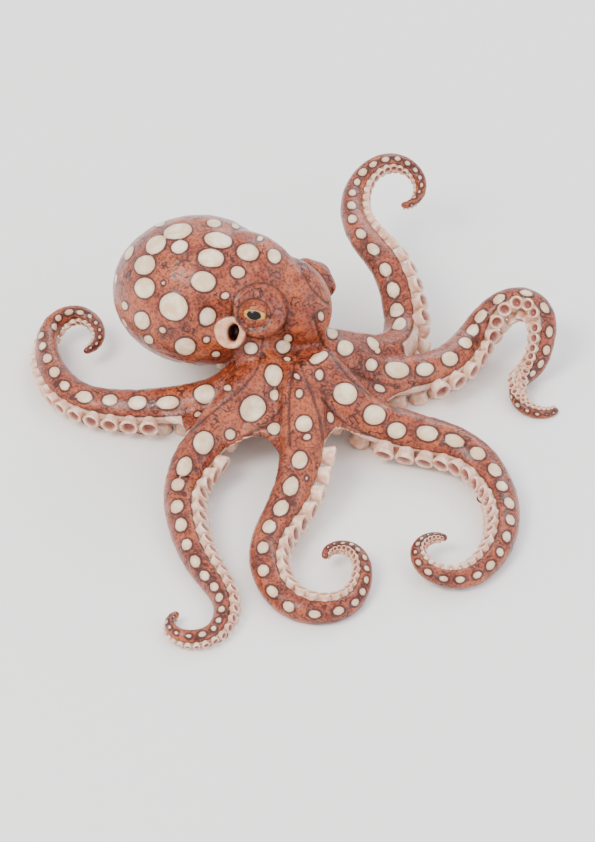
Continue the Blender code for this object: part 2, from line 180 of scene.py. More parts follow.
# the arms: bends are (length, turn, height over the floor at the end); roll is how far the suckers lean
# to the arm's left at the shares of its length in armShape; join is where the arm runs free of the web
arms = {
    "arm_r1": dict(bearing=-52.1, lift=40, join=130, roll=(-45, -28, -64, -105, -90),
                   bends=[(82, 41.8, 6), (68, -5.2, 0), (67, -52.4, 0), (141, -63.1, 2), (120, -270.6, 18)]),
    "arm_r2": dict(bearing=-80.8, lift=40, join=130, roll=(45, 47, 76, 115, 80),
                   bends=[(91, -14.4, 20), (82, -24.2, 2), (108, 67, 0), (67, 103.1, 0), (60, 59.7, 12),
                          (48, 177.8, 16)]),
    "arm_r3": dict(bearing=-140.1, lift=40, join=146, roll=(45, 38, 94, 104, 0),
                   bends=[(117, 12.3, 6), (52, 38, 0), (130, 32.7, 0), (67, -65.9, 0), (77, -216, 6)]),
    "arm_r4": dict(bearing=-160.1, lift=32, join=146, roll=(45, 45, 48, 15, -70),
                   bends=[(78, -15.6, 6), (105, -19.1, 0), (58, -43.4, 2), (84, -35.2, 12),
                          (55, -117.2, 24), (61, -137.9, 20)]),
    "arm_l1": dict(bearing=10.1, lift=40, join=148, roll=(-50, -44, -66, -105, -240),
                   bends=[(81, -4.6, 6), (110, 64.5, 10), (85, -85.3, 50), (27, -66.1, 44), (61, -60.8, 6),
                          (94, 210.3, 0)]),
    "arm_l2": dict(bearing=21.5, lift=45, join=148, roll=(-65, -92, -92, -60, -40),
                   bends=[(78, 8.8, 22), (43, 52.1, 16), (116, 46.5, 60), (102, -53.2, 77), (57, -61, 90),
                          (85, -219.4, 66)]),
    "arm_l3": dict(bearing=98, lift=34, join=118, roll=(0, 5, 20, 50, 85),
                   bends=[(122, -3, 6), (86, 10, 0), (88, 112, 0), (98, 285, 4)]),
    "arm_l4": dict(bearing=125, lift=34, join=116, roll=(0, 0, 0, -30, -60),
                   bends=[(83, 6, 3), (58, 14, 0), (92, -150, 0), (76, -205, 3)]),
}
armShape = dict(
    ring=26.0, rootRadius=24.1, tipRadius=3.0, taper=0.80, squash=0.10, sink=0.8, softening=1.3,
    rollAt=(0, 0.25, 0.45, 0.70, 1),
    corners=[(0, -1.25), (0.76, -0.93), (1.02, -0.02), (0.55, 1.22), (-0.55, 1.22)],  # in radii
    halfWidth=1.02, back=1.25, under=0.76,  # of the fleshy slice, in radii
    roundness=2.2,  # the slice is an oval at 2 and squarer above it
    keel=0.03, keelAt=65, keelWide=10,  # a low fold, in degrees from the middle of the sucker side
    groove=0.07, grooveWide=0.22,  # the dip between the suckers
    tip=4.0,  # the length that rounds off to a point, in mm
    knots=401, ringFaces=28, step=0.21, leastStep=1.3, mostStep=3.2,
)


def curveThrough(knots, values, where):
    # runs through the values and is level at each high and low point between them
    knots, values = np.asarray(knots, float), np.asarray(values, float)
    slopes = np.diff(values) / np.diff(knots)
    tangents = np.zeros(len(values))
    for i in range(1, len(values) - 1):
        if slopes[i - 1] * slopes[i] > 0:
            tangents[i] = 2 * slopes[i - 1] * slopes[i] / (slopes[i - 1] + slopes[i])
    i = np.clip(np.searchsorted(knots, where, side="right") - 1, 0, len(knots) - 2)
    span = knots[i + 1] - knots[i]
    u = (where - knots[i]) / span
    start = (1 + 2 * u) * (1 - u) ** 2 * values[i] + u * (1 - u) ** 2 * span * tangents[i]
    end = u * u * (3 - 2 * u) * values[i + 1] + u * u * (u - 1) * span * tangents[i + 1]
    return start + end


def runningSum(values, step):
    return np.concatenate([[0], np.cumsum((values[1:] + values[:-1]) / 2 * step)])


def armPath(arm):
    # a thinner part of a bend curls tighter, as a muscle that pulls evenly makes it
    shape = armShape
    length = sum(bend[0] for bend in arm["bends"])
    s = np.linspace(0, length, shape["knots"])
    step = s[1] - s[0]
    thinning = (1 - s / length) ** shape["taper"]
    radius = shape["tipRadius"] + (shape["rootRadius"] - shape["tipRadius"]) * thinning
    ends = np.cumsum([0] + [bend[0] for bend in arm["bends"]])
    turns = np.radians(np.cumsum([0] + [bend[1] for bend in arm["bends"]]))
    ease = runningSum(1 / radius, step)
    area = runningSum(np.interp(ease, np.interp(ends, s, ease), turns), step)
    low = np.clip(s - shape["softening"] * radius, 0, length)
    high = np.clip(s + shape["softening"] * radius, 0, length)
    softened = (np.interp(high, s, area) - np.interp(low, s, area)) / (high - low)
    bearing = math.radians(arm["bearing"])
    heading = bearing + softened
    roll = np.radians(curveThrough(shape["rollAt"], arm["roll"], s / length))
    corners = [(side * x, y) for x, y in shape["corners"] for side in (1, -1)]
    below = radius * np.max([y * np.cos(roll) - x * np.sin(roll) for x, y in corners], axis=0)
    lift = curveThrough(ends, [arm["lift"]] + [bend[2] for bend in arm["bends"]], s)
    z = lift + below - shape["sink"] - shape["squash"] * radius
    flat = np.sqrt(np.clip(1 - np.gradient(z, s) ** 2, 0.05, 1))
    x = shape["ring"] * math.cos(bearing) + runningSum(np.cos(heading) * flat, step)
    y = shape["ring"] * math.sin(bearing) + runningSum(np.sin(heading) * flat, step)
    centre = np.stack([x, y, z], axis=1)
    along = unit(np.gradient(centre, s, axis=0))
    left = unit(np.cross((0, 0, 1), along))
    up = np.cross(along, left)
    turn, lean = np.cos(roll)[:, None], np.sin(roll)[:, None]
    return dict(s=s, length=length, radius=radius, centre=centre, along=along,
                side=turn * left + lean * up, under=lean * left - turn * up)


frameNames = ("centre", "along", "side", "under", "radius")


def pathAt(path, s, *names):
    found = []
    for name in names:
        values = path[name]
        if values.ndim == 1:
            found.append(np.interp(s, path["s"], values))
        else:
            found.append(np.stack([np.interp(s, path["s"], values[:, k]) for k in range(3)], axis=-1))
    return found


def fleshySlice(turn):
    # x across and y towards the suckers, in radii, at a turn round the arm from the middle of its back
    shape = armShape
    across, down = np.sin(turn), -np.cos(turn)
    power = 2 / shape["roundness"]
    x = shape["halfWidth"] * np.sign(across) * np.abs(across) ** power
    y = np.sign(down) * np.abs(down) ** power * np.where(down < 0, shape["back"], shape["under"])
    fromKeel = (np.abs(turn - math.pi) - math.radians(shape["keelAt"])) / math.radians(shape["keelWide"])
    swell = 1 + shape["keel"] * np.exp(-fromKeel ** 2)
    groove = shape["groove"] * np.exp(-(x / shape["grooveWide"]) ** 2) * (down > 0)
    return x * swell, y * swell - groove


def tube(path, places, tip=False):
    # the fleshy arm as one sheet wrapped round its line; the seam is merged and the tip closes to a point
    def place(u, v):
        s = np.interp(v, np.linspace(0, 1, len(places)), places)
        centre, side, under, size = pathAt(path, s, "centre", "side", "under", "radius")
        if tip:
            past = np.clip((s - path["length"]) / armShape["tip"] + 1, 0, 1)
            size *= np.sqrt(np.clip(1 - past ** 2, 0, 1))
        x, y = fleshySlice(u * math.tau)
        where = centre + (x * size)[:, None] * side + (y * size)[:, None] * under
        where[:, 2] = np.maximum(where[:, 2], 0.0)
        return toModel(where)

    bm = mappedGrid(armShape["ringFaces"], len(places) - 1, place)
    bmesh.ops.remove_doubles(bm, verts=bm.verts[:], dist=1e-5)
    return bm


paths = {name: armPath(arm) for name, arm in arms.items()}
print("arm lines laid:", len(paths))

# the soft body: rounded forms that one skin is drawn over
bodyShape = dict(
    mantle=dict(middle=(-99, 54, 119), radii=(96, 78, 77), bearing=153, rise=-17, neckTaper=0.22),
    neck=dict(middle=(-53, 44, 139), radii=(59.5, 44, 54), bearing=153, rise=-2),
    head=dict(middle=(-9, 30, 120), radii=(47, 38, 52), bearing=-34),
    crown=dict(middle=(0, -2, 66), radii=(50, 48, 26)),
    cheek=dict(middle=(-47, -10, 90), radii=(14, 13, 27), look=(0.36, 0.41, 0.84)),
    chin=dict(middle=(-28, -2, 87), radii=(17, 15, 15)),
    armPast=16, armStep=4,  # how far past its join an arm is part of the body, and its rings' spacing
    voxel=2.45, smoothing=9,
)
webShape = dict(
    thickness=7.0, over=1.5, acrossFaces=16, alongFaces=20,
    out=0.84, low=0.15,  # in radii: how far out on an arm the web starts, and its least height
    edge=(0.80, 0.25),  # in radii, across and down: the edge of the side with the suckers
    reach={  # how far along the arms the web runs, and how far at its middle
        ("arm_r4", "arm_r3"): (132, 108), ("arm_r3", "arm_r2"): (112, 78), ("arm_r2", "arm_r1"): (90, 66),
        ("arm_r1", "arm_l1"): (112, 84), ("arm_l1", "arm_l2"): (130, 105), ("arm_l2", "arm_l3"): (122, 88),
        ("arm_l3", "arm_l4"): (96, 66), ("arm_l4", "arm_r4"): (100, 70),
    },
)
# mound is the swelling that carries an eye, which faces along ringWay and has a dome of (width, height,
# power); the ball's middle is out from the mound's middle along look, and it turns to its gaze
eyes = {
    "eye_right": dict(mound=(-37, 0, 133), moundRadii=(27, 27, 23), look=(-0.46, -0.80, 0.33), out=9,
                      gaze=(-0.16, -0.82, 0.52), slant=3, ringWay=(-0.02, -0.77, 0.64), dome=(27.5, 22, 3.5)),
    "eye_left": dict(mound=(15, 61, 126), moundRadii=(26, 26, 19), look=(0.60, 0.72, 0.34), out=4,
                     gaze=(0.45, 0.85, 0.20), slant=-3, ringWay=(0.60, 0.72, 0.34), dome=(26, 15, 2)),
}
eyeShape = dict(
    radius=15.6, openWidth=31, openOver=5.8, openUnder=4.4,  # the ball, and the slit between the lids
    slitPower=1.25,  # over 1 draws the slit's ends out
    lidRadius=17.2, lidBase=68, lidFaces=72, lidRows=20,  # lidBase is degrees from the gaze to the buried rim
    # round the lids' section from the buried rim, over the outside and the rolled edge, and back inside:
    # (share of the way, share from the slit to the rim, radius)
    lidRun=[(0, 1, 15.9), (0.10, 1, 17.2), (0.62, 0.10, 17.55), (0.70, 0.02, 17.3), (0.78, 0, 16.4),
            (0.86, 0.06, 15.9), (1, 1, 15.9)],
    foldAt=0.42, foldWide=0.07, foldDeep=0.35,  # a low fold along each lid, in shares and mm
    finerOut=12, finerReach=33,  # the ball of finer skin round the eye
)


def eyeMiddle(eye):
    return np.array(eye["mound"], float) + unit(eye["look"]) * eye["out"]


def eyeSides(eye):
    # the way it looks, and along and over its slit
    gaze = unit(eye["gaze"])
    across = unit(np.cross(gaze, (0, 0, 1)))
    over = np.cross(across, gaze)
    turn, lean = math.cos(math.radians(eye["slant"])), math.sin(math.radians(eye["slant"]))
    return gaze, across * turn + over * lean, over * turn - across * lean


def addEgg(bm, middle, radii, bearing=0.0, rise=0.0, neckTaper=0.0, look=None):
    egg = bmesh.new()
    bmesh.ops.create_icosphere(egg, subdivisions=5, radius=1.0)
    turn = Matrix.Rotation(math.radians(bearing), 3, "Z") @ Matrix.Rotation(math.radians(-rise), 3, "Y")
    if look is not None:
        turn = Vector(look).to_track_quat("Z", "Y").to_matrix()
    for vert in egg.verts:
        squeeze = 1 - neckTaper * max(0.0, -vert.co.x) ** 2
        local = Vector((vert.co.x * radii[0], vert.co.y * radii[1] * squeeze, vert.co.z * radii[2] * squeeze))
        vert.co = Vector(toModel(Vector(middle) + turn @ local))
    addTo(bm, egg)


def webStart(path, s, toward):
    # on an arm's left (1) or right (-1): its flank, or the edge of the sucker side where that leans over here
    centre, along, side, under, radius = pathAt(path, s, *frameNames)
    left = unit(np.cross((0, 0, 1), along))
    up = np.cross(along, left)
    edge = toward * webShape["edge"][0] * side + webShape["edge"][1] * under
    height = np.maximum((edge * up).sum(axis=1), webShape["low"])
    out = toward * np.sqrt(webShape["out"] ** 2 - height ** 2)
    return centre + (out[:, None] * left + height[:, None] * up) * radius[:, None]


def webSheet(pathA, pathB, reach, middle):
    def place(u, v):
        s = v * (middle + (reach - middle) * np.abs(2 * u - 1) ** 2)
        a, b = webStart(pathA, s, 1), webStart(pathB, s, -1)
        return toModel(a + (b - a) * u[:, None] + (0, 0, webShape["over"]))

    bm = mappedGrid(webShape["acrossFaces"], webShape["alongFaces"], place)
    made = bmesh.ops.extrude_face_region(bm, geom=bm.faces[:])["geom"]
    low = [item for item in made if isinstance(item, bmesh.types.BMVert)]
    bmesh.ops.translate(bm, vec=(0, 0, -webShape["thickness"] * mm), verts=low)
    bmesh.ops.recalc_face_normals(bm, faces=bm.faces[:])
    return bm


def skinnedBody():
    bm = bmesh.new()
    for name in ("mantle", "neck", "head", "crown", "cheek", "chin"):
        addEgg(bm, **bodyShape[name])
    for eye in eyes.values():
        addEgg(bm, eye["mound"], eye["moundRadii"], look=eye["look"])
    for name, arm in arms.items():
        root = tube(paths[name], np.arange(0, arm["join"] + bodyShape["armPast"], bodyShape["armStep"]))
        ends = [edge for edge in root.edges if edge.is_boundary]
        bmesh.ops.holes_fill(root, edges=ends, sides=0)
        bmesh.ops.recalc_face_normals(root, faces=root.faces[:])
        addTo(bm, root)
    for (a, b), (reach, middle) in webShape["reach"].items():
        addTo(bm, webSheet(paths[a], paths[b], reach, middle))
    form = newPiece("bodyForm", bm)
    remesh = form.modifiers.new("one skin", "REMESH")
    remesh.mode = "VOXEL"
    remesh.voxel_size = bodyShape["voxel"] * mm
    soften = form.modifiers.new("soften", "SMOOTH")
    soften.factor = 0.5
    soften.iterations = bodyShape["smoothing"]
    bpy.context.view_layer.update()
    graph = bpy.context.evaluated_depsgraph_get()
    mesh = bpy.data.meshes.new_from_object(form.evaluated_get(graph))
    bpy.data.objects.remove(form, do_unlink=True)
    return mesh


def freeStations(path, start):
    # where the free arm has its rings: closer where it is thin, and closest over its tip
    shape, places, tipStart = armShape, [start], path["length"] - armShape["tip"]
    while places[-1] < tipStart:
        radius = pathAt(path, places[-1], "radius")[0]
        places.append(places[-1] + min(max(radius * shape["step"], shape["leastStep"]), shape["mostStep"]))
    return [*places[:-1], *np.linspace(tipStart, path["length"], 7)]


# where a free arm meets the soft body: reach is in radii, the rest in mm
joint = dict(reach=1.5, behind=12, rimMerge=1.6, gap=2.2, evenOver=8, evenTimes=6)


def joinArm(bm, name):
    # the stub of the soft body is cut square, and the free arm is bridged on to it
    path, join = paths[name], arms[name]["join"]
    centre, along, radius = pathAt(path, join, "centre", "along", "radius")
    middle, way, reach = Vector(toModel(centre)), Vector(along), joint["reach"] * radius * mm

    def isNear(vert):
        return (vert.co - middle).length < reach

    near = [vert for vert in bm.verts if isNear(vert) and (vert.co - middle).dot(way) > -joint["behind"] * mm]
    faces = {face for vert in near for face in vert.link_faces}
    geom = list({item for face in faces for item in (*face.verts, *face.edges)}) + list(faces)
    bmesh.ops.bisect_plane(bm, geom=geom, dist=1e-6, plane_co=middle, plane_no=way, clear_outer=True)
    rim = [vert for vert in bm.verts if vert.is_boundary and isNear(vert)]
    bmesh.ops.remove_doubles(bm, verts=rim, dist=joint["rimMerge"] * mm)
    loop = [edge for edge in bm.edges if edge.is_boundary and isNear(edge.verts[0])]
    before = set(bm.edges)
    addTo(bm, tube(path, freeStations(path, join + joint["gap"]), tip=True))
    start = [edge for edge in bm.edges if edge.is_boundary and edge not in before]
    bmesh.ops.bridge_loops(bm, edges=loop + start)
    around = [vert for vert in bm.verts
              if isNear(vert) and abs((vert.co - middle).dot(way)) < joint["evenOver"] * mm]
    evenOut(bm, around, 0.5, joint["evenTimes"])


def refineRound(bm, middle, reach):
    # finer faces where the eye's folds need them
    edges = [edge for edge in bm.edges if all((vert.co - middle).length < reach for vert in edge.verts)]
    bmesh.ops.subdivide_edges(bm, edges=edges, cuts=1, smooth=0.6, use_grid_fill=True)


def lidShell(eye):
    # two lids in one closed shell round the opening, its edge rolled in against the eyeball
    shape = eyeShape
    gaze, across, over = eyeSides(eye)
    knots, shares, sizes = zip(*shape["lidRun"])

    def place(u, v):
        angle = u * math.tau
        high = np.where(np.sin(angle) > 0, shape["openOver"], shape["openUnder"])
        edgeX = np.cos(angle) * shape["openWidth"] / 2
        edgeY = np.sign(np.sin(angle)) * np.abs(np.sin(angle)) ** shape["slitPower"] * high
        edgeTurn = angle + (np.arctan2(edgeY, edgeX) - angle + math.pi) % math.tau - math.pi
        edgeOut = np.arcsin(np.hypot(edgeX, edgeY) / shape["lidRadius"])
        share = np.interp(v, knots, shares)
        turn = edgeTurn + (angle - edgeTurn) * share
        out = edgeOut + (math.radians(shape["lidBase"]) - edgeOut) * share
        outside = v < knots[2]
        fold = shape["foldDeep"] * np.exp(-((share - shape["foldAt"]) / shape["foldWide"]) ** 2) * outside
        size = np.interp(v, knots, sizes) - fold
        way = (np.cos(turn) * np.sin(out))[:, None] * across + (np.sin(turn) * np.sin(out))[:, None] * over
        return toModel(eyeMiddle(eye) + size[:, None] * (way + np.cos(out)[:, None] * gaze))

    bm = mappedGrid(shape["lidFaces"], shape["lidRows"], place)
    bmesh.ops.remove_doubles(bm, verts=bm.verts[:], dist=1e-5)
    bmesh.ops.recalc_face_normals(bm, faces=bm.faces[:])
    return bm


def nearestArms(places):
    # for each point in mm: the arm that is nearest in radii, and where the point lies by that arm's line
    best = np.full((len(paths), len(places)), 1e9)
    index = np.zeros((len(paths), len(places)), int)
    every, batch = 2, 8000  # each second point of a line is near enough to start from
    for row, path in enumerate(paths.values()):
        centre, radius = path["centre"][::every], path["radius"][::every]
        for start in range(0, len(places), batch):
            some = places[start:start + batch]
            gap = np.linalg.norm(some[:, None, :] - centre[None], axis=2) / radius[None]
            index[row, start:start + batch] = gap.argmin(axis=1)
            best[row, start:start + batch] = gap.min(axis=1)
    first = best.argmin(axis=0)
    found = {name: np.zeros(len(places)) for name in ("s", "y", "radius")}
    found.update(arm=first, gap=best.min(axis=0))
    for row, path in enumerate(paths.values()):
        mine = first == row
        s = path["s"][index[row, mine] * every]
        centre, along = pathAt(path, s, "centre", "along")
        s = np.clip(s + ((places[mine] - centre) * along).sum(axis=1), 0, path["length"])
        centre, under, radius = pathAt(path, s, "centre", "under", "radius")
        found["s"][mine] = s
        found["radius"][mine] = radius
        found["y"][mine] = ((places[mine] - centre) * under).sum(axis=1) / radius
    return found


# the pale spots. Each on the mantle is (along its axis, degrees round it from the top, half length,
# half width, slant), minus being the animal's right; each on the head and web is (place, half length,
# half width, slant). The rest of the mantle and the free arms are filled by rule.
spotLayout = dict(
    mantle=[(-2, -5, 17, 14, -15), (-29, 15, 11, 8, -70), (-42, 30, 9, 5, -60), (-45, -3, 15, 12, 20),
            (-47, -25, 14, 11, 15), (22, -37, 16, 11, -10), (-15, -22, 10, 9, 0), (17, -56, 15, 11, 0),
            (-5, -52, 3, 3, 0), (-44, -48, 13, 11, -5), (-17, -70, 16, 15, 0), (-76, -3, 12, 10, -5),
            (-72, -31, 8, 7, 30), (-63, -61, 5, 4, 20), (49, -73, 8, 5, 15), (26, -81, 14, 10, 30),
            (1, -89, 5, 4, 35), (-46, -80, 11, 8, 65), (-16, -105, 15, 11, 50), (-40, -104, 5, 4, 70),
            (26, -100, 10, 6, 40), (-38, -124, 7, 5, 65), (33, 9, 15, 6, -45), (15, -20, 15, 12, -35),
            (54, -22, 12, 8, -45)],
    front=[((-23, 28, 183), 10, 8, 15), ((-38, 47, 190), 8, 4, -45), ((-48, -19, 100), 8, 7, 0),
           ((-19, -4, 90), 9, 8, 0), ((-10, -8, 105), 7, 5, 80), ((-10, -21, 89), 5, 4, -50),
           ((23, -2, 129), 7, 4, -75), ((-25, -39, 82), 12, 10, 85), ((-21, -55, 68), 7, 6, -15),
           ((-47, -66, 61), 15, 13, 30), ((-23, -88, 53), 8, 7, -15), ((-69, -88, 46), 6, 6, 0),
           ((-95, -101, 43), 13, 11, 55), ((-94, -29, 50), 12, 11, 0), ((-69, -51, 72), 8, 4, 30),
           ((-101, -49, 38), 5, 4, 0), ((21, -22, 91), 13, 9, -15), ((21, -41, 83), 7, 5, 70),
           ((35, 18, 90), 12, 7, -45), ((49, 2, 84), 11, 9, 0), ((47, -53, 70), 13, 12, 0),
           ((77, -63, 48), 12, 11, 0), ((101, -74, 40), 10, 9, 0), ((32, -77, 60), 7, 5, 20),
           ((90, 18, 72), 5, 4, -15), ((75, 2, 62), 9, 7, -15), ((101, 11, 49), 14, 10, -15),
           ((84, -11, 41), 8, 5, -50), ((6, -102, 69), 10, 9, 40), ((8, -115, 63), 5, 4, 0),
           ((0, -50, 90), 6, 3, -40), ((2, -70, 84), 6, 4, -80), ((80, 29, 73), 11, 8, 0)],
    # random ovals fill the mantle, but not its placed side nor the belly by the neck
    filling=60, fillAlong=(-45, 86), fillLeast=6, fillMost=14, fillRoom=4, seed=11,
    placedTurn=(-118, 12), placedTo=56, bellyTurn=140, bellyTo=0,
    # one row of ovals runs down the middle of each arm's dark side as it shows from the front, one behind
    rowEdge=112, rowTurn=(40, 86), backTurn=62,
    rowStart=dict(arm_r1=136, arm_r2=112, arm_r3=142, arm_r4=112, arm_l1=114, arm_l2=122), otherStart=34,
    rowEnd=6, armPitch=1.56, armLong=(0.60, 0.66), armWide=0.45,
    smallShare=0.35, smallFrom=7, smallLong=0.17, smallWide=0.13,
)


# grooves in the skin with painted shade along them: the edges of each arm's back where it runs into the web,
# from the head outwards, and last the fold round the far eye. Places are on the skin as it shows from the
# front.
seams = dict(
    lines=[
        [(-34, -12, 106), (-40, -35, 90), (-58, -57, 77), (-80, -71, 67), (-107, -87, 49)],
        [(-16, -74, 70), (-34, -83, 53), (-55, -91, 44)],
        [(-3, -33, 94), (-9, -74, 79), (-9, -90, 73), (-8, -122, 61)],
        [(-2, -9, 90), (10, -57, 88), (23, -91, 66), (26, -107, 56)],
        [(25, -66, 75), (45, -72, 52), (75, -77, 33), (93, -80, 26)],
        [(17, -6, 129), (22, -2, 106), (30, -1, 88), (42, -30, 88), (55, -42, 78), (74, -41, 59),
         (103, -57, 51)],
        [(56, -13, 65), (79, -8, 48), (105, -4, 39)],
        [(1, 41, 167), (5, 20, 168), (17, 7, 154), (30, 9, 136)],
    ],
    deep=1.5, wide=1.6, near=16,
)


def seamDistance(places, normals):
    # measured across the line as it shows from the front
    facing, near = unit(frontWay), seams["near"]
    nearest = np.full(len(places), noMark)
    for line in seams["lines"]:
        knots = np.arange(len(line))
        where = np.linspace(0, len(line) - 1, 16 * len(line))
        points = np.stack([curveThrough(knots, values, where) for values in zip(*line)], axis=1)
        inside = ((places > points.min(axis=0) - near) & (places < points.max(axis=0) + near)).all(axis=1)
        close = np.flatnonzero(inside & (normals @ facing > 0.05))
        offset = places[close, None, :] - points[None]
        flat = offset - (offset @ facing)[..., None] * facing
        gap = np.where(np.linalg.norm(offset, axis=2) < near, np.linalg.norm(flat, axis=2), noMark)
        nearest[close] = np.minimum(nearest[close], gap.min(axis=1))
    return nearest


chance = np.random.default_rng(spotLayout["seed"])


def mantleFrame():
    shape = bodyShape["mantle"]
    bearing, rise = math.radians(shape["bearing"]), math.radians(shape["rise"])
    axis = np.array([math.cos(bearing) * math.cos(rise), math.sin(bearing) * math.cos(rise), math.sin(rise)])
    left = unit(np.cross(axis, (0, 0, 1)))
    return np.array(shape["middle"], float), axis, left, np.cross(left, axis)


def mantleSpots(places, normals):
    # the spots given above, and random ones that keep clear of them
    layout = spotLayout
    middle, axis, left, top = mantleFrame()
    offset = places - middle
    alongAxis, turnRound = offset @ axis, np.degrees(np.arctan2(offset @ left, offset @ top))
    farOff = 1000 * (np.linalg.norm(offset, axis=1) > 100)

    def onMantle(along, turn):
        # a degree counts as 0.9 mm
        aside = np.abs((turnRound - turn + 180) % 360 - 180)
        return (np.abs(alongAxis - along) + 0.9 * aside + farOff).argmin()

    def tilted(level, normal, slant):
        level = unit(level - (level @ normal) * normal)
        return math.cos(math.radians(slant)) * level + math.sin(math.radians(slant)) * np.cross(normal, level)

    spots = []
    for along, turn, long, wide, slant in layout["mantle"]:
        at = onMantle(along, turn)
        spots.append((places[at], tilted(axis, normals[at], slant), long, wide))
    for place, long, wide, slant in layout["front"]:
        at = np.linalg.norm(places - place, axis=1).argmin()
        spots.append((places[at], tilted(np.cross((0, 0, 1), normals[at]), normals[at], slant), long, wide))
    for _ in range(layout["filling"] * 12):
        along, turn = chance.uniform(*layout["fillAlong"]), chance.uniform(-180, 180)
        size = chance.uniform(layout["fillLeast"], layout["fillMost"])
        placedSide = layout["placedTurn"][0] < turn < layout["placedTurn"][1] and along < layout["placedTo"]
        if placedSide or (abs(turn) > layout["bellyTurn"] and along < layout["bellyTo"]):
            continue
        place, room = places[onMantle(along, turn)], size + layout["fillRoom"]
        clear = all(np.linalg.norm(place - other[0]) > room + max(other[2:]) for other in spots)
        if clear and len(spots) < layout["filling"] + len(layout["mantle"]):
            spots.append((place, axis, size * chance.uniform(0.9, 1.1), size * 0.88))
    return spots


def rowTurn(across, under, seen):
    # the side of an arm that a row of ovals lies on, and how far round from the middle of its back
    layout = spotLayout
    toFront = math.atan2(np.dot(frontWay, across), -np.dot(frontWay, under))
    side = 1 if toFront > 0 else -1
    if not seen:
        return -side, layout["backTurn"]
    spread = min(math.radians(layout["rowEdge"]) - abs(toFront), math.pi / 2)
    turn = math.degrees(abs(toFront) + math.asin((math.sin(spread) - 1) / 2))
    return side, min(max(turn, layout["rowTurn"][0]), layout["rowTurn"][1])


def layOutSpots(places, normals):
    # each spot: its middle on the skin, the way it runs, half its length and half its width
    layout = spotLayout
    spots = mantleSpots(places, normals)
    given = spots[:len(layout["mantle"]) + len(layout["front"])]
    for name, path in paths.items():
        for seen in (True, False):
            s = layout["rowStart"].get(name, layout["otherStart"]) if seen else layout["otherStart"]
            s += chance.uniform(0, 6)
            while s < path["length"] - layout["rowEnd"]:
                centre, along, across, under, radius = pathAt(path, s, *frameNames)
                side, turn = rowTurn(across, under, seen)
                x, y = fleshySlice(np.array([math.radians(turn + chance.uniform(-4, 4))]))
                long = radius * np.interp(s / path["length"], (0, 1), layout["armLong"])
                long *= chance.uniform(0.85, 1.08)
                wide = radius * layout["armWide"] * chance.uniform(0.88, 1.06)
                place = centre + (side * x[0] * across + y[0] * under) * radius
                clear = all(np.linalg.norm(place - other[0]) > 0.8 * (long + other[2]) for other in given)
                if clear:
                    spots.append((place, along, long, wide))
                if clear and chance.random() < layout["smallShare"] and radius > layout["smallFrom"]:
                    small = side * 0.80 * across - chance.uniform(0.0, 0.25) * under
                    spots.append((centre + (small * 1.1 + along * 0.8) * radius, along,
                                  radius * layout["smallLong"], radius * layout["smallWide"]))
                s += radius * layout["armPitch"] * chance.uniform(0.94, 1.08)
    return spots


def spotDistance(places, spots):
    # how far each point is outside the nearest spot's edge, or inside it as a minus
    nearest = np.full(len(places), noMark)
    for middle, way, long, wide in spots:
        close = np.abs(places - middle).max(axis=1) < max(long, wide) * 2 + 12
        offset = places[close] - middle
        run = offset @ way
        rest = np.linalg.norm(offset - run[:, None] * way, axis=1)
        gap = (np.sqrt((run / long) ** 2 + (rest / wide) ** 2) - 1) * min(long, wide)
        nearest[close] = np.minimum(nearest[close], gap)
    return nearest


bm = bmesh.new()
bodyMesh = skinnedBody()
bm.from_mesh(bodyMesh)
bpy.data.meshes.remove(bodyMesh)
print("body skin drawn:", len(bm.faces), "faces")
for name in arms:
    joinArm(bm, name)
print("arms joined:", len(arms))
for eye in eyes.values():
    middle = np.array(eye["mound"]) + unit(eye["look"]) * eyeShape["finerOut"]
    refineRound(bm, Vector(toModel(middle)), eyeShape["finerReach"] * mm)
bmesh.ops.recalc_face_normals(bm, faces=bm.faces[:])
print("open edges:", len([edge for edge in bm.edges if edge.is_boundary]), "faces:", len(bm.faces))
skin = newPiece("skin", bm)

# the siphon, for which the skin makes room
siphonShape = dict(
    base=(-60.5, 13, 99), point=(-0.17, -0.80, 0.57), length=43, faces=48, wobble=0.035,
    # (radius, distance along) from the root over the lip and down the bore
    outline=[(13, -2), (18, 0), (17, 12), (15.8, 24), (15, 33), (15.7, 38.5), (16.4, 41.8), (15.4, 43.4),
             (13.2, 43.7), (10.8, 42.6), (9.2, 39.6), (8.4, 34), (7.9, 28), (7, 22), (5, 18), (0, 16.5)],
    bore=10.6, boreFrom=14, boreWide=0.66, boreAside=2.6,  # the opening is a standing oval, nearer the eye
    # flesh is cleared from the bore, and round the mouth in front of it, but not off the eye's mound
    clearFrom=8, clearWide=12.0, clearAround=36, mouth=41.5, mouthWide=18.5, mouthSlope=1.0,
    moundEdge=(26.0, 28.5),
    # inside is the colour of the painted shade down the bore
    skin="#B05A36", pale="#E0AE8A", line="#5A2014", inside="#4A1712", mottle=8.0, grain=2.8,
)

# how the skin rises and dips
relief = dict(
    spotRise=0.7, spotSlope=(-3.0, 0.6), wrinkle=0.55, wrinkleSize=9.0, fineWrinkle=0.22, fineSize=4.0,
    # the folds round an eye, as radii from its middle line
    eyeRing=28.0, ringDepth=1.5, ringWidth=1.8, innerRing=24.0, ridgeHigh=0.9, ridgeWidth=2.6,
    lidCrease=16.4, creaseDepth=0.6, creaseWidth=1.3, moundRadius=27,
    socketDepth=13.0, socketWide=(15.0, 17.6), socketReach=34,
)


def eyeAxes(eye):
    # lines through the mound's middle and the eyeball's middle: (place, direction)
    return (np.array(eye["mound"], float), unit(eye["ringWay"])), (eyeMiddle(eye), unit(eye["gaze"]))


def distances(places, line):
    # how far along a line each place is, and how far from it
    offset = places - line[0]
    high = offset @ line[1]
    return high, np.linalg.norm(offset - high[:, None] * line[1], axis=1)


